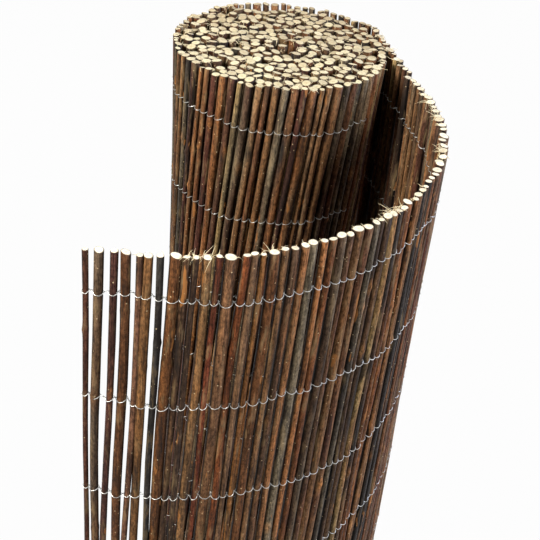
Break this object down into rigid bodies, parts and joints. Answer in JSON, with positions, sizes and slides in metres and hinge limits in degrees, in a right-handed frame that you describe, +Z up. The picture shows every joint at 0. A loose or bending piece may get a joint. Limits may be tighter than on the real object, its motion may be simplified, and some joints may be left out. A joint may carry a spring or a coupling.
{
  "type": "willow screening roll",
  "caption": "Roll of willow-rod fence screening stood on end: bark-on rods bound side by side by rows of wire, wound in a twisted spiral, with its last half metre unrolled.",
  "frame": {"origin": "foot of the core rod, on the roll's axis at ground level", "axes": "+Z up along the rods; -Y towards the unrolled tail's free part in front of the roll; +X to the right, where the tail leaves the roll"},
  "size_m": [0.3112, 0.5048, 1],
  "materials": {
    "willow_bark": "satin",
    "galvanised_wire": "satin"
  },
  "bodies": {
    "root": {"binding_wire_01": "galvanised_wire", "binding_wire_02": "galvanised_wire", "binding_wire_03": "galvanised_wire", "binding_wire_04": "galvanised_wire", "binding_wire_05": "galvanised_wire", "binding_wire_06": "galvanised_wire", "binding_wire_07": "galvanised_wire", "binding_wire_08": "galvanised_wire", "binding_wire_09": "galvanised_wire", "binding_wire_10": "galvanised_wire", "core_rod": "willow_bark", "edge_rod": "willow_bark", "roll_turn_01": "willow_bark", "roll_turn_02": "willow_bark", "roll_turn_03": "willow_bark", "roll_turn_04": "willow_bark", "roll_turn_05": "willow_bark", "roll_turn_06": "willow_bark", "roll_turn_07": "willow_bark", "roll_turn_08": "willow_bark", "tail_bay_01": "willow_bark", "tail_bay_02": "willow_bark", "tail_bay_03": "willow_bark", "tail_bay_04": "willow_bark", "tail_bay_05": "willow_bark", "tail_bay_06": "willow_bark", "tail_bay_07": "willow_bark"}
  },
  "joints": []
}
